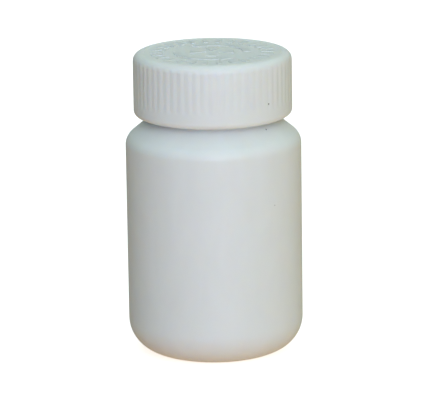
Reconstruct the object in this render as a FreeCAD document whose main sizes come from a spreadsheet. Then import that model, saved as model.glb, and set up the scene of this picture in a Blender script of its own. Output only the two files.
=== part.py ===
"""A white plastic packer bottle with a two-shell push-and-turn screw closure.

The bottle stands on Z = 0 with its axis on +Z, in millimetres. Its closure is, from the neck
outwards: a foil and a pulp board lining disc, a threaded inner cap, a moulded leaf spring, and a
fluted outer cap that turns freely until it is pressed down onto the inner cap's drive teeth.
"""

import FreeCAD, Part
import os

import Sketcher

# name in the sheet, value (millimetres, degrees or a count), and what it sizes
SIZES = (
    ("body_diameter", 47.5, "outside of the bottle's straight wall"),
    ("body_wall", 1.2, "blown wall of the body, shoulder and base"),
    ("base_corner", 9.0, "rounding between the base and the wall"),
    ("standing_ring", 10.8, "inner radius of the flat ring that the bottle stands on"),
    ("push_up", 1.6, "height of the hollow under the base"),
    ("push_up_radius", 7.6, "radius of the flat roof of that hollow"),
    ("shoulder_height", 59.1, "where the lines of the wall and of the shoulder's cone meet"),
    ("shoulder_corner", 4.2, "rounding between the wall and the shoulder"),
    ("shoulder_slope", 39.5, "degrees of the shoulder's cone above the horizontal"),
    ("neck_diameter", 34.9, "neck at the root of its thread"),
    ("neck_bore", 30.6, "clear mouth of the bottle"),
    ("neck_top", 76.6, "height of the sealing rim"),
    ("neck_foot", 1.0, "rounding between the neck and the shoulder"),
    ("thread_diameter", 37.3, "neck over the crest of its thread"),
    ("thread_pitch", 4.233, "rise of both threads in one turn, six turns to the inch"),
    ("thread_turns", 1.35, "turns of thread on the neck"),
    ("thread_start", 68.2, "height of the middle of the neck thread's lower end"),
    ("thread_root", 2.4, "width of the neck's thread at its root"),
    ("thread_crest", 1.0, "width of both threads at their crests"),
    ("board_diameter", 37.2, "pulp board and foil lining discs"),
    ("board_thickness", 0.9, "pulp board"),
    ("foil_thickness", 0.15, "foil laminate under the board"),
    ("inner_cap_diameter", 39.7, "outside of the inner cap"),
    ("inner_cap_bore", 37.9, "inner cap at the root of its thread"),
    ("inner_cap_base", 66.9, "height of the inner cap's lower edge"),
    ("inner_thread_bore", 35.5, "inner cap over the crest of its thread"),
    ("inner_thread_root", 2.0, "width of the inner cap's thread at its root"),
    ("inner_thread_turns", 1.6, "turns of thread in the inner cap"),
    ("inner_thread_drop", 1.65, "how far the inner cap's thread runs below the neck's"),
    ("inner_thread_angle", 132, "degrees around the axis where the inner cap's thread starts"),
    ("deck_top", 78.9, "height of the inner cap's deck"),
    ("deck_thickness", 1.2, "thickness of that deck"),
    ("drive_count", 12, "count of drive teeth, and of drive lugs"),
    ("drive_inner", 16.4, "inner radius of the teeth and lugs"),
    ("drive_outer", 19.4, "outer radius of the teeth and lugs"),
    ("drive_ramp", 0.6, "run of the ramp on the slipping side of each tooth and lug"),
    ("tooth_width", 3.8, "width of a tooth on the inner cap"),
    ("tooth_height", 0.9, "height of a tooth above the deck"),
    ("lug_width", 2.8, "width of a lug in the outer cap"),
    ("lug_height", 0.95, "drop of a lug below the outer cap's roof"),
    ("spring_outer", 14.8, "outer radius of the leaf spring's ring"),
    ("spring_inner", 8.9, "inner radius of that ring"),
    ("spring_ring", 0.6, "thickness of that ring"),
    ("spring_gap", 0.05, "gap above the ring, and below the tips of the leaves"),
    ("leaf_count", 6, "count of leaves under the ring"),
    ("leaf_length", 6.4, "run of a leaf around the ring"),
    ("leaf_thickness", 0.5, "thickness of a leaf"),
    ("leaf_inner", 9.6, "inner radius of a leaf"),
    ("leaf_outer", 14.0, "outer radius of a leaf"),
    ("cap_diameter", 42.8, "outer cap"),
    ("cap_base", 65.2, "height of the outer cap's lower edge"),
    ("cap_top", 82.3, "height of the outer cap's rim"),
    ("cap_roof", 1.3, "thickness from that rim down to the outer cap's roof"),
    ("cap_bore", 40.3, "inside of the outer cap's skirt"),
    ("cap_top_corner", 2.25, "rounding of the outer cap's upper edge"),
    ("cap_base_corner", 1.6, "rounding of the outer cap's lower edge"),
    ("panel_radius", 18.7, "radius of the sunken panel in the cap's top"),
    ("panel_depth", 0.28, "depth of that panel, and height of the marks that stand in it"),
    ("retaining_bead", 38.2, "bore of the bead that holds the inner cap in the outer cap"),
    ("bead_top", 66.8, "height of that bead's catching face"),
    ("bead_lead", 0.7, "height of the lead-in below that face's lip"),
    ("boss_outer", 8.5, "outer radius of the tube that centres the spring"),
    ("boss_inner", 7.5, "inner radius of that tube"),
    ("boss_height", 0.9, "drop of that tube below the roof"),
    ("flute_count", 62, "count of grooves around the outer cap"),
    ("flute_radius", 0.8, "radius of each groove"),
    ("flute_depth", 0.2, "depth of each groove"),
    ("flute_low", 69.4, "height of the grooves' lower ends"),
    ("flute_high", 81.4, "height of the grooves' upper ends, where they run out on the rounding"),
    ("bar_count", 26, "count of raised bars in the ring on the cap's top"),
    ("bar_inner", 13.2, "inner radius of the bars"),
    ("bar_outer", 16.8, "outer radius of the bars"),
    ("bar_width", 1.4, "width of each bar"),
    ("arrow_inner", 8.4, "inner radius of the two curved arrows' shafts"),
    ("arrow_outer", 10.4, "outer radius of those shafts"),
    ("arrow_sweep", 100, "degrees of each shaft"),
    ("arrow_head", 1.5, "how far each arrow's head stands out on either side of its shaft"),
    ("arrow_tip", 4.2, "length of each arrow's head"),
    ("press_inner", 1.6, "radius of the tips of the press marks"),
    ("press_outer", 5.8, "radius of the backs of the press marks"),
    ("press_width", 3.6, "width of the press marks at their backs"),
    ("press_count", 4, "count of press marks"),
    ("edge_round", 0.3, "rounding of the small moulded edges"),
    ("root_overlap", 0.25, "how far a thread, tooth, lug or mark runs into its wall"),
)
TOLERANCE = 1e-4  # millimetres, when an edge is looked up by its place

BODY_R = "Sizes.body_diameter / 2"
BODY_BORE_R = "Sizes.body_diameter / 2 - Sizes.body_wall"
NECK_R = "Sizes.neck_diameter / 2"
MOUTH_R = "Sizes.neck_bore / 2"
CAP_R = "Sizes.cap_diameter / 2"
CAP_BORE_R = "Sizes.cap_bore / 2"
INNER_CAP_R = "Sizes.inner_cap_diameter / 2"
INNER_BORE_R = "Sizes.inner_cap_bore / 2"
BEAD_R = "Sizes.retaining_bead / 2"
BOARD_R = "Sizes.board_diameter / 2"
RISE = "tan(Sizes.shoulder_slope)"
WALL_RISE = "Sizes.body_wall * tan((90 - Sizes.shoulder_slope) / 2)"
NECK_FOOT_Z = f"Sizes.shoulder_height + ({BODY_R} - {NECK_R}) * {RISE}"
INNER_SHOULDER_Z = f"Sizes.shoulder_height - {WALL_RISE}"
INNER_FOOT_Z = f"{INNER_SHOULDER_Z} + ({BODY_BORE_R} - {MOUTH_R}) * {RISE}"
FLOOR_Z = "Sizes.push_up + Sizes.body_wall"
FOIL_TOP = "Sizes.neck_top + Sizes.foil_thickness"
BOARD_TOP = "Sizes.neck_top + Sizes.foil_thickness + Sizes.board_thickness"
DECK_Z = "Sizes.deck_top - Sizes.deck_thickness"
ROOF_Z = "Sizes.cap_top - Sizes.cap_roof"
PANEL_Z = "Sizes.cap_top - Sizes.panel_depth"
MARK_FOOT = "Sizes.cap_top - Sizes.panel_depth - Sizes.root_overlap"
MARK_LENGTH = "Sizes.panel_depth + Sizes.root_overlap"
RING_TOP = f"{ROOF_Z} - Sizes.spring_gap"
RING_FOOT = f"{ROOF_Z} - Sizes.spring_gap - Sizes.spring_ring"
LEAF_TIP = "Sizes.deck_top + Sizes.spring_gap"

doc = FreeCAD.newDocument("packer_bottle")
sheet = doc.addObject("Spreadsheet::Sheet", "Sizes")
for row, (alias, value, meaning) in enumerate(SIZES, start=1):
    sheet.set(f"A{row}", alias)
    sheet.set(f"B{row}", str(value))
    sheet.set(f"C{row}", meaning)
    sheet.setAlias(f"B{row}", alias)
doc.recompute()


def size(expression):
    """The value of an expression in the sheet's names, as a plain number."""
    value = sheet.evalExpression(expression.replace("Sizes.", ""))
    return float(getattr(value, "Value", value))


def new_body(name):
    """An empty body whose Label names the piece's file."""
    body = doc.addObject("PartDesign::Body", name)
    body.Label = name
    return body


def origin_feature(body, role):
    """The body's own axis or plane of that role."""
    return next(f for f in body.Origin.OriginFeatures if f.Role == role)


def new_sketch(body, name, role, lift="0", turn="0"):
    """A sketch on an origin plane, turned about Z and then moved along its own normal."""
    sketch = body.newObject("Sketcher::SketchObject", name)
    sketch.AttachmentSupport = [(origin_feature(body, role), "")]
    sketch.MapMode = "FlatFace"
    level = role == "XY_Plane"
    axis = FreeCAD.Vector(0, 0, 1) if level else FreeCAD.Vector(0, 1, 0)
    turning = FreeCAD.Rotation(axis, size(turn))
    sketch.AttachmentOffset = FreeCAD.Placement(FreeCAD.Vector(0, 0, 0), turning)
    if turn != "0":
        sketch.setExpression("AttachmentOffset.Rotation.Angle", turn)
    if level:
        sketch.setExpression("AttachmentOffset.Base.z", lift)
    else:
        sketch.setExpression("AttachmentOffset.Base.x", f"({lift}) * sin({turn})")
        sketch.setExpression("AttachmentOffset.Base.z", f"({lift}) * cos({turn})")
    return sketch


def draw_outline(sketch, corners):
    """A closed outline of straight runs, each corner held at its pair of expressions."""
    points = [FreeCAD.Vector(size(across), size(up), 0) for across, up in corners]
    count = len(points)
    for i in range(count):
        sketch.addGeometry(Part.LineSegment(points[i], points[(i + 1) % count]))
    for i in range(count):
        sketch.addConstraint(Sketcher.Constraint("Coincident", i, 2, (i + 1) % count, 1))
    for i, corner in enumerate(corners):
        for kind, axis, expression in zip(("DistanceX", "DistanceY"), (-2, -1), corner):
            value = size(expression)
            if abs(value) < TOLERANCE:
                sketch.addConstraint(Sketcher.Constraint("PointOnObject", i, 1, axis))
                continue
            held = sketch.addConstraint(Sketcher.Constraint(kind, -1, 1, i, 1, value))
            sketch.setExpression(f"Constraints[{held}]", expression)


def turned(body, name, corners, sweep="360", turn="0"):
    """Adds an outline in a plane through Z, revolved about Z."""
    sketch = new_sketch(body, name + "_outline", "XZ_Plane", turn=turn)
    draw_outline(sketch, corners)
    feature = body.newObject("PartDesign::Revolution", name)
    feature.Profile = sketch
    feature.ReferenceAxis = (sketch, ["V_Axis"])
    feature.Angle = size(sweep)
    feature.setExpression("Angle", sweep)
    doc.recompute()
    return feature


def helical_ridge(body, name, corners, turns, turn="0"):
    """Adds a right-handed thread, its section in a plane through Z swept up round Z."""
    sketch = new_sketch(body, name + "_section", "XZ_Plane", turn=turn)
    draw_outline(sketch, corners)
    feature = body.newObject("PartDesign::AdditiveHelix", name)
    feature.Profile = sketch
    feature.ReferenceAxis = (sketch, ["V_Axis"])
    feature.Mode = "pitch-turns-angle"
    feature.setExpression("Pitch", "Sizes.thread_pitch")
    feature.setExpression("Turns", turns)
    doc.recompute()
    return feature


def extruded(body, name, sketch, length, kind="PartDesign::Pad", against=False):
    """Adds or cuts the sketch's outline along its plane's normal, or against it."""
    feature = body.newObject(kind, name)
    feature.Profile = sketch
    feature.setExpression("Length", length)
    feature.Reversed = against
    doc.recompute()
    return feature


def repeated(body, feature, count):
    """Repeats a feature evenly about Z."""
    pattern = body.newObject("PartDesign::PolarPattern", feature.Name + "_ring")
    pattern.Originals = [feature]
    pattern.Axis = (origin_feature(body, "Z_Axis"), [""])
    pattern.Angle = 360
    pattern.setExpression("Occurrences", count)
    body.Tip = pattern
    doc.recompute()
    return pattern


def rounded(body, name, radius, places):
    """Rounds the circular edges about Z at the given pairs of radius and height."""
    base = body.Tip
    edges = []
    for across, up in places:
        found = [
            f"Edge{i}"
            for i, edge in enumerate(base.Shape.Edges, start=1)
            if isinstance(edge.Curve, Part.Circle)
            and abs(edge.Curve.Radius - size(across)) < TOLERANCE
            and abs(edge.Curve.Center.z - size(up)) < TOLERANCE
        ]
        if not found:
            raise ValueError(f"{name}: no circular edge at {across}, {up}")
        edges += found
    feature = body.newObject("PartDesign::Fillet", name)
    feature.Base = (base, edges)
    feature.Radius = size(radius)
    feature.setExpression("Radius", radius)
    doc.recompute()
    return feature


def bar_outline(near, far, width):
    """The corners of a bar lying along the sketch's first axis."""
    return [
        (near, f"-({width}) / 2"),
        (far, f"-({width}) / 2"),
        (far, f"({width}) / 2"),
        (near, f"({width}) / 2"),
    ]


def ridge_section(root, crest, middle, root_width, crest_width):
    """The corners of a thread's section between two radii, about its middle height."""
    return [
        (root, f"{middle} - {root_width} / 2"),
        (crest, f"{middle} - {crest_width} / 2"),
        (crest, f"{middle} + {crest_width} / 2"),
        (root, f"{middle} + {root_width} / 2"),
    ]


# The bottle: a blown shell with a pushed-up base, a cone shoulder and a threaded neck.
bottle = new_body("bottle_body")
turned(bottle, "shell", [
    ("Sizes.standing_ring", "0"),
    (BODY_R, "0"),
    (BODY_R, "Sizes.shoulder_height"),
    (NECK_R, NECK_FOOT_Z),
    (NECK_R, "Sizes.neck_top"),
    (MOUTH_R, "Sizes.neck_top"),
    (MOUTH_R, INNER_FOOT_Z),
    (BODY_BORE_R, INNER_SHOULDER_Z),
    (BODY_BORE_R, "Sizes.body_wall"),
    ("Sizes.standing_ring", "Sizes.body_wall"),
    ("Sizes.push_up_radius", FLOOR_Z),
    ("0", FLOOR_Z),
    ("0", "Sizes.push_up"),
    ("Sizes.push_up_radius", "Sizes.push_up"),
])
rounded(bottle, "base_outside", "Sizes.base_corner", [(BODY_R, "0")])
rounded(bottle, "base_inside", "Sizes.base_corner - Sizes.body_wall", [
    (BODY_BORE_R, "Sizes.body_wall"),
])
rounded(bottle, "shoulder_outside", "Sizes.shoulder_corner", [(BODY_R, "Sizes.shoulder_height")])
rounded(bottle, "shoulder_inside", "Sizes.shoulder_corner - Sizes.body_wall", [
    (BODY_BORE_R, INNER_SHOULDER_Z),
])
rounded(bottle, "neck_root", "Sizes.neck_foot", [(NECK_R, NECK_FOOT_Z), (MOUTH_R, INNER_FOOT_Z)])
rounded(bottle, "rim_edges", "Sizes.edge_round", [
    (NECK_R, "Sizes.neck_top"),
    (MOUTH_R, "Sizes.neck_top"),
])
helical_ridge(bottle, "neck_thread", ridge_section(
    f"{NECK_R} - Sizes.root_overlap",
    "Sizes.thread_diameter / 2",
    "Sizes.thread_start",
    "Sizes.thread_root",
    "Sizes.thread_crest",
), "Sizes.thread_turns")

# The lining: a foil laminate that rests on the sealing rim, and the pulp board above it.
foil = new_body("liner_foil")
turned(foil, "foil_disc", [
    ("0", "Sizes.neck_top"), (BOARD_R, "Sizes.neck_top"), (BOARD_R, FOIL_TOP), ("0", FOIL_TOP),
])
board = new_body("liner_board")
turned(board, "board_disc", [
    ("0", FOIL_TOP), (BOARD_R, FOIL_TOP), (BOARD_R, BOARD_TOP), ("0", BOARD_TOP),
])

# The inner cap: a threaded cup with a ring of drive teeth on its deck.
inner_cap = new_body("inner_cap")
turned(inner_cap, "cup", [
    ("0", DECK_Z),
    (INNER_BORE_R, DECK_Z),
    (INNER_BORE_R, "Sizes.inner_cap_base"),
    (INNER_CAP_R, "Sizes.inner_cap_base"),
    (INNER_CAP_R, "Sizes.deck_top"),
    ("0", "Sizes.deck_top"),
])
rounded(inner_cap, "cup_edges", "Sizes.edge_round", [
    (INNER_CAP_R, "Sizes.deck_top"),
    (INNER_CAP_R, "Sizes.inner_cap_base"),
])
thread_foot = "Sizes.thread_start - Sizes.inner_thread_drop"
thread_climb = "Sizes.thread_pitch * Sizes.inner_thread_angle / 360"
helical_ridge(inner_cap, "cup_thread", ridge_section(
    f"{INNER_BORE_R} + Sizes.root_overlap",
    "Sizes.inner_thread_bore / 2",
    f"{thread_foot} + {thread_climb}",
    "Sizes.inner_thread_root",
    "Sizes.thread_crest",
), "Sizes.inner_thread_turns", turn="Sizes.inner_thread_angle")
tooth_side = new_sketch(inner_cap, "tooth_side", "YZ_Plane", lift="Sizes.drive_inner")
draw_outline(tooth_side, [
    ("-Sizes.tooth_width / 2", "Sizes.deck_top - Sizes.root_overlap"),
    ("Sizes.tooth_width / 2", "Sizes.deck_top - Sizes.root_overlap"),
    ("Sizes.tooth_width / 2", "Sizes.deck_top"),
    ("Sizes.tooth_width / 2 - Sizes.drive_ramp", "Sizes.deck_top + Sizes.tooth_height"),
    ("-Sizes.tooth_width / 2", "Sizes.deck_top + Sizes.tooth_height"),
])
tooth = extruded(inner_cap, "tooth", tooth_side, "Sizes.drive_outer - Sizes.drive_inner")
repeated(inner_cap, tooth, "Sizes.drive_count")

# The spring: a ring against the outer cap's roof, with leaves slanting down to the deck.
spring = new_body("press_spring")
turned(spring, "spring_ring", [
    ("Sizes.spring_inner", RING_FOOT),
    ("Sizes.spring_outer", RING_FOOT),
    ("Sizes.spring_outer", RING_TOP),
    ("Sizes.spring_inner", RING_TOP),
])
leaf_side = new_sketch(spring, "leaf_side", "YZ_Plane", lift="Sizes.leaf_inner")
leaf_root = f"{RING_FOOT} + Sizes.spring_ring / 2"
draw_outline(leaf_side, [
    ("-Sizes.leaf_length / 2", f"{leaf_root} - Sizes.leaf_thickness"),
    ("Sizes.leaf_length / 2", LEAF_TIP),
    ("Sizes.leaf_length / 2", f"{LEAF_TIP} + Sizes.leaf_thickness"),
    ("-Sizes.leaf_length / 2", leaf_root),
])
leaf = extruded(spring, "leaf", leaf_side, "Sizes.leaf_outer - Sizes.leaf_inner")
repeated(spring, leaf, "Sizes.leaf_count")

# The outer cap: a fluted shell with a sunken panel, raised marks, drive lugs and a bead.
outer_cap = new_body("outer_cap")
turned(outer_cap, "cap_shell", [
    ("0", ROOF_Z),
    ("Sizes.boss_inner", ROOF_Z),
    ("Sizes.boss_inner", f"{ROOF_Z} - Sizes.boss_height"),
    ("Sizes.boss_outer", f"{ROOF_Z} - Sizes.boss_height"),
    ("Sizes.boss_outer", ROOF_Z),
    (CAP_BORE_R, ROOF_Z),
    (CAP_BORE_R, "Sizes.bead_top"),
    (BEAD_R, "Sizes.bead_top"),
    (BEAD_R, "Sizes.cap_base"),
    (CAP_R, "Sizes.cap_base"),
    (CAP_R, "Sizes.cap_top"),
    ("Sizes.panel_radius", "Sizes.cap_top"),
    ("Sizes.panel_radius", PANEL_Z),
    ("0", PANEL_Z),
])
rounded(outer_cap, "cap_upper_edge", "Sizes.cap_top_corner", [(CAP_R, "Sizes.cap_top")])
rounded(outer_cap, "cap_lower_edge", "Sizes.cap_base_corner", [(CAP_R, "Sizes.cap_base")])

flute_end = new_sketch(outer_cap, "flute_end", "XY_Plane", lift="Sizes.flute_low")
flute_middle = f"{CAP_R} + Sizes.flute_radius - Sizes.flute_depth"
centre = FreeCAD.Vector(size(flute_middle), 0, 0)
flute_end.addGeometry(Part.Circle(centre, FreeCAD.Vector(0, 0, 1), size("Sizes.flute_radius")))
flute_end.addConstraint(Sketcher.Constraint("PointOnObject", 0, 3, -1))
held = flute_end.addConstraint(Sketcher.Constraint("DistanceX", -1, 1, 0, 3, centre.x))
flute_end.setExpression(f"Constraints[{held}]", flute_middle)
held = flute_end.addConstraint(Sketcher.Constraint("Radius", 0, size("Sizes.flute_radius")))
flute_end.setExpression(f"Constraints[{held}]", "Sizes.flute_radius")
flute_length = "Sizes.flute_high - Sizes.flute_low"
flute = extruded(outer_cap, "flute", flute_end, flute_length, "PartDesign::Pocket", against=True)
repeated(outer_cap, flute, "Sizes.flute_count")

half_gap = "180 / Sizes.drive_count"
lug_side = new_sketch(outer_cap, "lug_side", "YZ_Plane", lift="Sizes.drive_inner", turn=half_gap)
draw_outline(lug_side, [
    ("-Sizes.lug_width / 2", f"{ROOF_Z} + Sizes.root_overlap"),
    ("-Sizes.lug_width / 2", ROOF_Z),
    ("-Sizes.lug_width / 2 + Sizes.drive_ramp", f"{ROOF_Z} - Sizes.lug_height"),
    ("Sizes.lug_width / 2", f"{ROOF_Z} - Sizes.lug_height"),
    ("Sizes.lug_width / 2", f"{ROOF_Z} + Sizes.root_overlap"),
])
lug = extruded(outer_cap, "lug", lug_side, "Sizes.drive_outer - Sizes.drive_inner")
repeated(outer_cap, lug, "Sizes.drive_count")

bar_plan = new_sketch(outer_cap, "bar_plan", "XY_Plane", lift=MARK_FOOT)
draw_outline(bar_plan, bar_outline("Sizes.bar_inner", "Sizes.bar_outer", "Sizes.bar_width"))
bar = extruded(outer_cap, "bar", bar_plan, MARK_LENGTH)
repeated(outer_cap, bar, "Sizes.bar_count")
shaft = turned(outer_cap, "arrow_shaft", [
    ("Sizes.arrow_inner", MARK_FOOT),
    ("Sizes.arrow_outer", MARK_FOOT),
    ("Sizes.arrow_outer", "Sizes.cap_top"),
    ("Sizes.arrow_inner", "Sizes.cap_top"),
], sweep="Sizes.arrow_sweep")
repeated(outer_cap, shaft, "2")
head_plan = new_sketch(outer_cap, "head_plan", "XY_Plane", MARK_FOOT, "Sizes.arrow_sweep")
draw_outline(head_plan, [
    ("Sizes.arrow_inner - Sizes.arrow_head", "-Sizes.root_overlap"),
    ("Sizes.arrow_outer + Sizes.arrow_head", "-Sizes.root_overlap"),
    ("(Sizes.arrow_inner + Sizes.arrow_outer) / 2", "Sizes.arrow_tip"),
])
head = extruded(outer_cap, "arrow_point", head_plan, MARK_LENGTH)
repeated(outer_cap, head, "2")
press_plan = new_sketch(outer_cap, "press_plan", "XY_Plane", lift=MARK_FOOT)
draw_outline(press_plan, [
    ("Sizes.press_inner", "0"),
    ("Sizes.press_outer", "-Sizes.press_width / 2"),
    ("Sizes.press_outer", "Sizes.press_width / 2"),
])
press_mark = extruded(outer_cap, "press_mark", press_plan, MARK_LENGTH)
repeated(outer_cap, press_mark, "Sizes.press_count")

doc.recompute()
broken = [o.Label for o in doc.Objects if {"Invalid", "Error"} & set(o.State)]
if broken:
    raise RuntimeError(f"objects in error: {broken}")
os.makedirs("parts", exist_ok=True)
for piece in (bottle, foil, board, inner_cap, spring, outer_cap):
    shape = piece.Shape
    if shape.isNull() or not shape.isValid() or len(shape.Solids) != 1:
        raise RuntimeError(f"{piece.Label} is not one sound solid")
    shape.exportStep(f"parts/{piece.Label}.step")
    print(f"{piece.Label}: {shape.Volume:.1f} mm3")
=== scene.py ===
"""Looks for a white plastic packer bottle with a push-and-turn screw cap."""

import math

import bmesh
import bpy
import numpy as np
from mathutils import Matrix, Vector


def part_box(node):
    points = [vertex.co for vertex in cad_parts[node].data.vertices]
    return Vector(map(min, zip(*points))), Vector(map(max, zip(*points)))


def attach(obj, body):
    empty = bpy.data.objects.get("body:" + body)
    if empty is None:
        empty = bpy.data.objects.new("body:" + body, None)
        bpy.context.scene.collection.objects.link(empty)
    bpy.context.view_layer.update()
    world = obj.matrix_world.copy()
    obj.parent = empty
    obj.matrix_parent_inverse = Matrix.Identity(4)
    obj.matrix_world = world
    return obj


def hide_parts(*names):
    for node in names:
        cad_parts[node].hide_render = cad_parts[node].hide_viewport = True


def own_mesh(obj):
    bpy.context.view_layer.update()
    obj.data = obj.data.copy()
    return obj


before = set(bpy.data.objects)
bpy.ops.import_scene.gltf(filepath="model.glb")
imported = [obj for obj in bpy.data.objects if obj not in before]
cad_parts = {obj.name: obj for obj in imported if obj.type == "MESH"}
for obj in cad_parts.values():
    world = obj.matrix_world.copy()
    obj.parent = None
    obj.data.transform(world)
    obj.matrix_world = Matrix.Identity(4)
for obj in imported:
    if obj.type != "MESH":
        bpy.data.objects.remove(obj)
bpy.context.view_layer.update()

MM = 0.001
TAU = 2 * math.pi

# The bottle and cap in millimetres, read off the CAD nodes' boxes where those give them.
body_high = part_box("bottle_body")[1] / MM
cap_low, cap_high = (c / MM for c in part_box("outer_cap"))
BODY_R = round(body_high.x, 2)
NECK_TOP = body_high.z
CAP_BASE, CAP_TOP = cap_low.z, cap_high.z
CAP_R = 21.4
WALL = 1.2
BASE_CORNER = 9.0
SHOULDER_Z = 59.1
SHOULDER_CORNER = 4.2
SLOPE = math.radians(39.5)
NECK_R = 17.45
MOUTH_R = 15.3
THREAD_R = 18.65
PITCH = 4.233
THREAD_START = 68.2
THREAD_TURNS = 1.35
PUSH_UP = 1.6
PUSH_UP_R = 7.6
STANDING_RING_R = 10.8
TOP_CORNER = 2.25
LOWER_CORNER = 1.58
PANEL_R = 18.7
PANEL_Z = CAP_TOP - 0.28
ROOF_Z = CAP_TOP - 1.3
BORE_R = 20.15
BEAD_R = 19.1
BEAD_HEIGHT = 1.6
BOSS_OUTER = 8.5
BOSS_INNER = 7.5
BOSS_DROP = 0.9
FLUTES = 62
FLUTE_DEPTH = 0.10


def smoothstep(low, high, x):
    t = np.clip((x - low) / (high - low), 0, 1)
    return t * t * (3 - 2 * t)


def rounded_path(corners, step=0.6, arc_step=0.25):
    """Points along an open path of (radius, height, rounding) corners, in millimetres."""
    out = [np.array(corners[0][:2], float)]
    for i in range(1, len(corners)):
        here = np.array(corners[i][:2], float)
        radius = corners[i][2] if i < len(corners) - 1 else 0
        before = out[-1]
        if radius:
            a = np.array(corners[i - 1][:2], float) - here
            b = np.array(corners[i + 1][:2], float) - here
            a, b = a / np.linalg.norm(a), b / np.linalg.norm(b)
            half = math.acos(np.clip(a @ b, -1, 1)) / 2
            reach = radius / math.tan(half)
            middle = here + (a + b) / np.linalg.norm(a + b) * radius / math.sin(half)
            start, end = here + a * reach, here + b * reach
        else:
            start = end = here
        count = max(1, round(np.linalg.norm(start - before) / step))
        out += [before + (start - before) * k / count for k in range(1, count + 1)]
        if radius:
            u, v = start - middle, end - middle
            turn = math.atan2(u[0] * v[1] - u[1] * v[0], u @ v)
            count = max(4, round(abs(turn) * radius / arc_step))
            for k in range(1, count + 1):
                c, s = math.cos(turn * k / count), math.sin(turn * k / count)
                out.append(middle + np.array([c * u[0] - s * u[1], s * u[0] + c * u[1]]))
    return np.array(out)


def lathe(name, path, columns, relief=None):
    """A closed solid of revolution: the path runs from axis to axis, and relief changes radii."""
    angles = np.arange(columns) * TAU / columns
    inner = path[1:-1]
    radius = np.repeat(inner[:, :1], columns, axis=1)
    height = np.repeat(inner[:, 1:], columns, axis=1)
    if relief:
        radius = radius + relief(angles[None, :], radius, height)
    points = np.stack([radius * np.cos(angles), radius * np.sin(angles), height], -1)
    first, last = (np.array([[0, 0, p[1]]]) for p in (path[0], path[-1]))
    co = np.concatenate([first, points.reshape(-1, 3), last]) * MM
    rows = len(inner)
    grid = 1 + np.arange(rows * columns).reshape(rows, columns)
    turned = np.roll(grid, -1, axis=1)
    faces = np.stack([grid[:-1], turned[:-1], turned[1:], grid[1:]], -1).reshape(-1, 4).tolist()
    faces += [[0, b, a] for a, b in zip(grid[0], turned[0])]
    faces += [[len(co) - 1, a, b] for a, b in zip(grid[-1], turned[-1])]
    mesh = bpy.data.meshes.new(name)
    mesh.from_pydata(co.tolist(), [], faces)
    made = bmesh.new()
    made.from_mesh(mesh)
    bmesh.ops.recalc_face_normals(made, faces=made.faces)
    made.to_mesh(mesh)
    made.free()
    mesh.shade_smooth()
    obj = bpy.data.objects.new(name, mesh)
    bpy.context.scene.collection.objects.link(obj)
    return obj


# ---- Materials ----------------------------------------------------------------------------


def node_tree(name):
    material = bpy.data.materials.new(name)
    material.use_nodes = True
    tree = material.node_tree
    shader = tree.nodes["Principled BSDF"]
    return material, tree, shader


def noise(tree, scale, detail, vector, distortion=0.0):
    node = tree.nodes.new("ShaderNodeTexNoise")
    node.inputs["Scale"].default_value = scale
    node.inputs["Detail"].default_value = detail
    node.inputs["Distortion"].default_value = distortion
    tree.links.new(vector, node.inputs["Vector"])
    return node.outputs["Fac"]


def ramp(tree, value, stops):
    node = tree.nodes.new("ShaderNodeValToRGB")
    elements = node.color_ramp.elements
    while len(elements) < len(stops):
        elements.new(0.5)
    for element, (place, colour) in zip(elements, stops):
        element.position = place
        element.color = (*colour, 1)
    tree.links.new(value, node.inputs["Fac"])
    return node.outputs["Color"]


def remap(tree, value, low, high):
    node = tree.nodes.new("ShaderNodeMapRange")
    node.inputs["To Min"].default_value = low
    node.inputs["To Max"].default_value = high
    tree.links.new(value, node.inputs["Value"])
    return node.outputs["Result"]


def bump(tree, height, strength, distance, under=None):
    node = tree.nodes.new("ShaderNodeBump")
    node.inputs["Strength"].default_value = strength
    node.inputs["Distance"].default_value = distance
    tree.links.new(height, node.inputs["Height"])
    if under:
        tree.links.new(under, node.inputs["Normal"])
    return node.outputs["Normal"]


def place(tree, stretch=(1, 1, 1)):
    """Object coordinates, stretched."""
    coordinates = tree.nodes.new("ShaderNodeTexCoord")
    mapping = tree.nodes.new("ShaderNodeMapping")
    mapping.inputs["Scale"].default_value = stretch
    tree.links.new(coordinates.outputs["Object"], mapping.inputs["Vector"])
    return mapping.outputs["Vector"]


def flecked(tree, colour, specks):
    """The colour with a small dark inclusion at each (x, y, z, radius), in metres."""
    where = place(tree)
    for x, y, z, radius in specks:
        distance = tree.nodes.new("ShaderNodeVectorMath")
        distance.operation = "DISTANCE"
        distance.inputs[1].default_value = (x, y, z)
        tree.links.new(where, distance.inputs[0])
        spread = tree.nodes.new("ShaderNodeMapRange")
        spread.interpolation_type = "SMOOTHSTEP"
        spread.inputs["From Min"].default_value = radius * 0.4
        spread.inputs["From Max"].default_value = radius
        spread.inputs["To Min"].default_value = 1
        spread.inputs["To Max"].default_value = 0
        tree.links.new(distance.outputs["Value"], spread.inputs["Value"])
        mix = tree.nodes.new("ShaderNodeMix")
        mix.data_type = "RGBA"
        mix.inputs["B"].default_value = (0.12, 0.11, 0.10, 1)
        tree.links.new(spread.outputs["Result"], mix.inputs["Factor"])
        tree.links.new(colour, mix.inputs["A"])
        colour = mix.outputs["Result"]
    return colour


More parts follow.
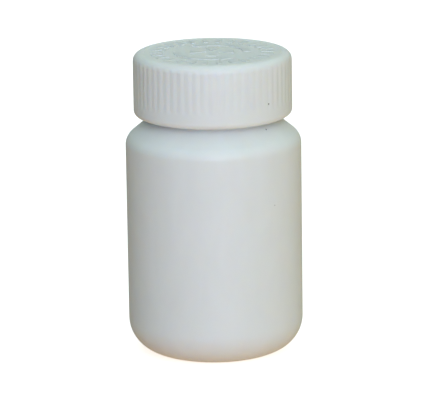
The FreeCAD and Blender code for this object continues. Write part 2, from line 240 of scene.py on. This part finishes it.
def polymer(name, light, dark, roughness, grain, flow=(1, 1, 1), specks=(), glow=0.6):
    """Moulded plastic: faint mottling along the flow, fine mould texture, a little scattering."""
    material, tree, shader = node_tree(name)
    flowing = place(tree, flow)
    even = place(tree)
    mottle = noise(tree, 130, 4, flowing, 0.4)
    colour = ramp(tree, mottle, [(0.30, dark), (0.66, light)])
    tree.links.new(flecked(tree, colour, specks), shader.inputs["Base Color"])
    sheen_patches = noise(tree, 420, 3, even)
    low, high = roughness
    tree.links.new(remap(tree, sheen_patches, low, high), shader.inputs["Roughness"])
    waves = bump(tree, noise(tree, 95, 2, flowing), 0.35, 0.00022)
    fine = bump(tree, noise(tree, 2600, 3, even), grain, 0.00004, waves)
    tree.links.new(fine, shader.inputs["Normal"])
    shader.inputs["IOR"].default_value = 1.5
    shader.inputs["Subsurface Weight"].default_value = glow
    shader.inputs["Subsurface Radius"].default_value = (1.0, 0.8, 0.6)
    shader.inputs["Subsurface Scale"].default_value = 0.0022
    return material


def pulp(name):
    """Pulp board: pale brown fibres pressed flat."""
    material, tree, shader = node_tree(name)
    fibres = noise(tree, 1400, 6, place(tree, (1, 3, 1)), 1.2)
    blotches = noise(tree, 180, 3, place(tree))
    colour = ramp(tree, fibres, [(0.30, (0.47, 0.41, 0.32)), (0.70, (0.72, 0.67, 0.57))])
    tree.links.new(colour, shader.inputs["Base Color"])
    tree.links.new(remap(tree, blotches, 0.82, 0.95), shader.inputs["Roughness"])
    tree.links.new(bump(tree, fibres, 0.6, 0.00008), shader.inputs["Normal"])
    return material


def foil(name):
    """Foil laminate: bright, with the fine parallel lines of rolled foil and slight creasing."""
    material, tree, shader = node_tree(name)
    rolled = noise(tree, 900, 4, place(tree, (0.05, 1, 1)))
    creases = noise(tree, 160, 3, place(tree), 0.6)
    colour = ramp(tree, rolled, [(0.25, (0.66, 0.67, 0.69)), (0.75, (0.86, 0.86, 0.87))])
    tree.links.new(colour, shader.inputs["Base Color"])
    tree.links.new(remap(tree, rolled, 0.20, 0.36), shader.inputs["Roughness"])
    lines = bump(tree, rolled, 0.25, 0.00002)
    tree.links.new(bump(tree, creases, 0.3, 0.00015, lines), shader.inputs["Normal"])
    shader.inputs["Metallic"].default_value = 1
    return material


def paint(obj, material):
    obj.data.materials.clear()
    obj.data.materials.append(material)


# ---- The bottle ---------------------------------------------------------------------------

rise = math.tan(SLOPE)
neck_foot = SHOULDER_Z + (BODY_R - NECK_R) * rise
inner_shoulder = SHOULDER_Z - WALL * math.tan((math.pi / 2 - SLOPE) / 2)
inner_foot = inner_shoulder + (BODY_R - WALL - MOUTH_R) * rise


def neck_relief(angle, radius, height):
    """The outside thread, rising to its crest and down again, and tapering out at both ends."""
    on_neck = smoothstep(NECK_R - 0.02, NECK_R - 0.01, radius) * (height > neck_foot + 1.2)
    on_neck = on_neck * (radius < NECK_R + 0.01)
    thread = np.zeros(np.broadcast(angle, height).shape)
    for turn in range(math.ceil(THREAD_TURNS)):
        along = angle / TAU + turn
        away = np.abs(height - THREAD_START - PITCH * along)
        flank = 1 - smoothstep(0.42, 1.22, away)
        lead_in = smoothstep(0.0, 0.07, along)
        run_out = 1 - smoothstep(THREAD_TURNS - 0.07, THREAD_TURNS, along)
        thread = np.maximum(thread, flank * (lead_in * run_out))
    return thread * on_neck * (THREAD_R - NECK_R)


bottle_path = np.concatenate([
    rounded_path([
        (0, PUSH_UP, 0), (PUSH_UP_R, PUSH_UP, 1.5), (STANDING_RING_R, 0, 1.0),
        (BODY_R, 0, BASE_CORNER), (BODY_R, SHOULDER_Z, SHOULDER_CORNER),
        (NECK_R, neck_foot, 1.0), (NECK_R, neck_foot + 1.6, 0),
    ], step=0.8),
    rounded_path([
        (NECK_R, neck_foot + 1.7, 0), (NECK_R, NECK_TOP, 0.3), (MOUTH_R, NECK_TOP, 0.3),
        (MOUTH_R, NECK_TOP - 1.0, 0),
    ], step=0.12, arc_step=0.08),
    rounded_path([
        (MOUTH_R, NECK_TOP - 1.5, 0), (MOUTH_R, inner_foot, 1.0),
        (BODY_R - WALL, inner_shoulder, SHOULDER_CORNER - WALL),
        (BODY_R - WALL, WALL, BASE_CORNER - WALL), (STANDING_RING_R, WALL, 1.0),
        (PUSH_UP_R, PUSH_UP + WALL, 1.5), (0, PUSH_UP + WALL, 0),
    ], step=0.9, arc_step=0.4),
])
bottle = lathe("bottle_shell", bottle_path, 384, neck_relief)
hdpe = polymer(
    "bottle_hdpe", (0.93, 0.93, 0.905), (0.895, 0.895, 0.87), (0.40, 0.52), 0.10, flow=(1, 1, 0.35),
    specks=[
        (0.0160, -0.0174, 0.0438, 0.00022),
        (0.0141, -0.0122, 0.0633, 0.00030),
    ],
)
paint(bottle, hdpe)
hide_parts("bottle_body")
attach(bottle, "bottle")

# ---- The outer cap ------------------------------------------------------------------------


def flute_relief(angle, radius, height):
    """Rounded grooves down the skirt, running out on the upper rounding and above the band."""
    outside = (radius > CAP_R - 0.8) * 1.0
    wave = (0.5 + 0.5 * np.cos(FLUTES * angle)) ** 1.3
    low = smoothstep(CAP_BASE + 3.9, CAP_BASE + 4.7, height)
    high = 1 - smoothstep(CAP_TOP - 1.9, CAP_TOP - 0.9, height)
    return -FLUTE_DEPTH * wave * low * high * outside


cap_path = np.concatenate([
    rounded_path([
        (0, PANEL_Z, 0), (14.2, PANEL_Z, 24), (PANEL_R - 0.2, CAP_TOP - 0.12, 0.1),
        (PANEL_R, CAP_TOP, 0.12), (CAP_R, CAP_TOP, TOP_CORNER), (CAP_R, CAP_BASE, LOWER_CORNER),
        (BEAD_R, CAP_BASE, 0),
    ], step=0.45, arc_step=0.12),
    rounded_path([
        (BEAD_R, CAP_BASE + 0.15, 0), (BEAD_R, CAP_BASE + BEAD_HEIGHT, 0.2),
        (BORE_R, CAP_BASE + BEAD_HEIGHT, 0.3), (BORE_R, ROOF_Z, 0.5),
        (BOSS_OUTER, ROOF_Z, 0.2), (BOSS_OUTER, ROOF_Z - BOSS_DROP, 0.2),
        (BOSS_INNER, ROOF_Z - BOSS_DROP, 0.2), (BOSS_INNER, ROOF_Z, 0.2), (0, ROOF_Z, 0),
    ], step=1.0, arc_step=0.2),
])
cap = lathe("cap_shell", cap_path, 16 * FLUTES, flute_relief)


def raised(outlines, foot, top, edge):
    """One mesh of flat marks with rounded upper edges, from outlines in millimetres."""
    made = bmesh.new()
    for outline in outlines:
        ring = [made.verts.new((x * MM, y * MM, foot * MM)) for x, y in outline]
        base = made.faces.new(ring)
        grown = bmesh.ops.extrude_face_region(made, geom=[base])
        lifted = [v for v in grown["geom"] if isinstance(v, bmesh.types.BMVert)]
        bmesh.ops.translate(made, verts=lifted, vec=(0, 0, (top - foot) * MM))
        above = set(lifted)
        crest = [e for e in made.edges if e.verts[0] in above and e.verts[1] in above]
        bmesh.ops.bevel(
            made, geom=crest, offset=edge * MM, segments=3, profile=0.6, affect="EDGES",
        )
    bmesh.ops.recalc_face_normals(made, faces=made.faces)
    return made


def spun(points, angle):
    c, s = math.cos(angle), math.sin(angle)
    return [(x * c - y * s, x * s + y * c) for x, y in points]


BARS = 26
BAR = [(13.2, -0.7), (16.8, -0.7), (16.8, 0.7), (13.2, 0.7)]
SHAFT_OUTER, SHAFT_INNER = 10.4, 8.4
ARROW_HEAD = [(11.9, 0), (9.4, 4.2), (6.9, 0)]
PRESS_MARKS = 4
PRESS_MARK = [(1.6, 0), (5.8, -1.8), (5.8, 1.8)]

# A ring of bars, two curved arrows inside it, and four pointers around the middle.
sweep = math.radians(100)
arc = [sweep * k / 28 for k in range(29)]
arrow = [(SHAFT_OUTER * math.cos(a), SHAFT_OUTER * math.sin(a)) for a in arc]
arrow += spun(ARROW_HEAD, sweep)
arrow += [(SHAFT_INNER * math.cos(a), SHAFT_INNER * math.sin(a)) for a in reversed(arc)]
marks = [spun(BAR, i * TAU / BARS) for i in range(BARS)]
marks += [arrow, spun(arrow, math.pi)]
marks += [spun(PRESS_MARK, i * TAU / PRESS_MARKS) for i in range(PRESS_MARKS)]
marks_mesh = bpy.data.meshes.new("cap_marks")
raised_marks = raised(marks, PANEL_Z - 0.1, CAP_TOP - 0.02, 0.12)
raised_marks.to_mesh(marks_mesh)
raised_marks.free()
cap_marks = bpy.data.objects.new("cap_marks", marks_mesh)
bpy.context.scene.collection.objects.link(cap_marks)

cap_pp = polymer(
    "outer_cap_pp", (0.93, 0.93, 0.905), (0.895, 0.895, 0.87), (0.40, 0.52), 0.12, flow=(1, 1, 0.6),
    specks=[(0.0148, -0.0154, 0.0709, 0.00030)],
)
for piece in (cap, cap_marks):
    paint(piece, cap_pp)
    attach(piece, "outer_closure")
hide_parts("outer_cap")

# ---- The inside of the closure ------------------------------------------------------------

inner_pp = polymer("inner_cap_pp", (0.82, 0.82, 0.80), (0.78, 0.78, 0.76), (0.30, 0.40), 0.10)
spring_pp = polymer(
    "spring_pp", (0.80, 0.78, 0.70), (0.74, 0.72, 0.64), (0.28, 0.40), 0.08, glow=0.25,
)
paint(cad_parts["inner_cap"], inner_pp)
paint(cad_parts["liner_foil"], foil("liner_foil"))
paint(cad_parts["liner_board"], pulp("liner_board"))

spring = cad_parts["press_spring"].copy()
spring.data = spring.data.copy()
spring.name = spring.data.name = "spring_leaves"
bpy.context.scene.collection.objects.link(spring)
paint(spring, spring_pp)
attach(spring, "spring")
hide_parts("press_spring")
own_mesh(spring)

# ---- Floor, light and camera --------------------------------------------------------------

bpy.context.scene.view_settings.view_transform = "Standard"

# A pale floor, with a glow of its own that leaves hardly any of the bottle's shadow to see.
bpy.ops.mesh.primitive_plane_add(size=6)
floor = bpy.context.object
floor.name = "floor"
floor_material, floor_tree, floor_shader = node_tree("floor")
cloudy = noise(floor_tree, 3, 2, place(floor_tree))
pale = ramp(floor_tree, cloudy, [(0, (0.86, 0.86, 0.86)), (1, (0.90, 0.90, 0.90))])
floor_tree.links.new(pale, floor_shader.inputs["Base Color"])
floor_shader.inputs["Emission Color"].default_value = (1, 1, 1, 1)
floor_shader.inputs["Emission Strength"].default_value = 0.60
floor_shader.inputs["Roughness"].default_value = 0.9
floor_shader.inputs["Specular IOR Level"].default_value = 0.1
paint(floor, floor_material)

# A pale backdrop all around, far off, so that the floor meets no dark edge in a low view.
bpy.ops.mesh.primitive_uv_sphere_add(segments=48, ring_count=24, radius=2.9)
backdrop = bpy.context.object
backdrop.name = "backdrop"
backdrop_material, backdrop_tree, backdrop_shader = node_tree("backdrop")
faint = noise(backdrop_tree, 1, 2, place(backdrop_tree))
backdrop_colour = ramp(backdrop_tree, faint, [(0, (0.98, 0.98, 0.98)), (1, (1.0, 1.0, 1.0))])
backdrop_tree.links.new(backdrop_colour, backdrop_shader.inputs["Emission Color"])
backdrop_shader.inputs["Emission Strength"].default_value = 1.0
backdrop_shader.inputs["Roughness"].default_value = 1.0
paint(backdrop, backdrop_material)

# Neither one blocks or adds light on the bottle, so the glow from below still reaches it.
for stage in (floor, backdrop):
    stage.visible_diffuse = stage.visible_glossy = stage.visible_transmission = False
    stage.visible_shadow = False

# Soft surroundings: a broad glow from each of five directions, warm from below.
GLOWS = [
    ((-1, 0, 0), (0.00, 0.03, 0.04)),
    ((1, 0, 0), (0.20, 0.21, 0.12)),
    ((0, 1, 0), (0.10, 0.10, 0.10)),
    ((0, 0, 1), (0.58, 0.70, 0.64)),
    ((0, 0, -1), (0.70, 0.48, 0.29)),
]
world = bpy.data.worlds.new("studio")
bpy.context.scene.world = world
world.use_nodes = True
sky = world.node_tree
outward_from_bottle = sky.nodes.new("ShaderNodeTexCoord").outputs["Generated"]
total = None
for direction, colour in GLOWS:  # total = colour * max(0, outward . direction) + the total so far
    facing = sky.nodes.new("ShaderNodeVectorMath")
    facing.operation = "DOT_PRODUCT"
    facing.inputs[1].default_value = direction
    sky.links.new(outward_from_bottle, facing.inputs[0])
    amount = sky.nodes.new("ShaderNodeClamp")
    sky.links.new(facing.outputs["Value"], amount.inputs["Value"])
    glow = sky.nodes.new("ShaderNodeVectorMath")
    glow.operation = "MULTIPLY_ADD"
    sky.links.new(amount.outputs["Result"], glow.inputs[0])
    glow.inputs[1].default_value = colour
    if total:
        sky.links.new(total, glow.inputs[2])
    total = glow.outputs["Vector"]
sky.links.new(total, sky.nodes["Background"].inputs["Color"])


def softbox(name, azimuth, elevation, distance, size, power, colour):
    """A square light that faces the bottle. Azimuth 0 is in front of it, and 90 to its right."""
    a, e = math.radians(azimuth), math.radians(elevation)
    outward = Vector((math.sin(a) * math.cos(e), -math.cos(a) * math.cos(e), math.sin(e)))
    data = bpy.data.lights.new(name, "AREA")
    data.size = size
    data.energy = power
    data.color = colour
    obj = bpy.data.objects.new(name, data)
    obj.location = outward * distance + Vector((0, 0, 0.045))
    obj.rotation_mode = "QUATERNION"
    obj.rotation_quaternion = outward.to_track_quat("Z", "Y")
    obj.visible_camera = False
    bpy.context.scene.collection.objects.link(obj)
    return obj


softbox("key", 5, 17, 0.9, 0.65, 5.2, (0.78, 0.84, 1.0))
fill = softbox("fill", 180, 8, 0.9, 0.65, 3.0, (0.92, 0.93, 1.0))
fill.visible_glossy = False

# The camera stands 0.85 m in front and 0.25 m up, looking 13.8 degrees down, leaning 0.8 degrees.
SENSOR = 36
IMAGE_WIDTH = 437
LENS_IN_IMAGE_UNITS = 3213.5
camera_data = bpy.data.cameras.new("camera")
camera_data.sensor_width = SENSOR
camera_data.lens = LENS_IN_IMAGE_UNITS * SENSOR / IMAGE_WIDTH
camera_data.clip_start, camera_data.clip_end = 0.05, 20
camera = bpy.data.objects.new("camera", camera_data)
pitch, yaw, roll = (math.radians(v) for v in (13.794, 0.077, -0.825))
level = math.cos(pitch)
forward = Vector((math.sin(yaw) * level, math.cos(yaw) * level, -math.sin(pitch)))
right = Vector((math.cos(yaw), -math.sin(yaw), 0))
up = right.cross(forward)
leaning_right = math.cos(roll) * right + math.sin(roll) * up
leaning_up = -math.sin(roll) * right + math.cos(roll) * up
turned = Matrix((leaning_right, leaning_up, -forward)).transposed()
camera.matrix_world = Matrix.Translation((0, -0.84756, 0.24925)) @ turned.to_4x4()
bpy.context.scene.collection.objects.link(camera)
bpy.context.scene.camera = camera

bpy.context.view_layer.update()
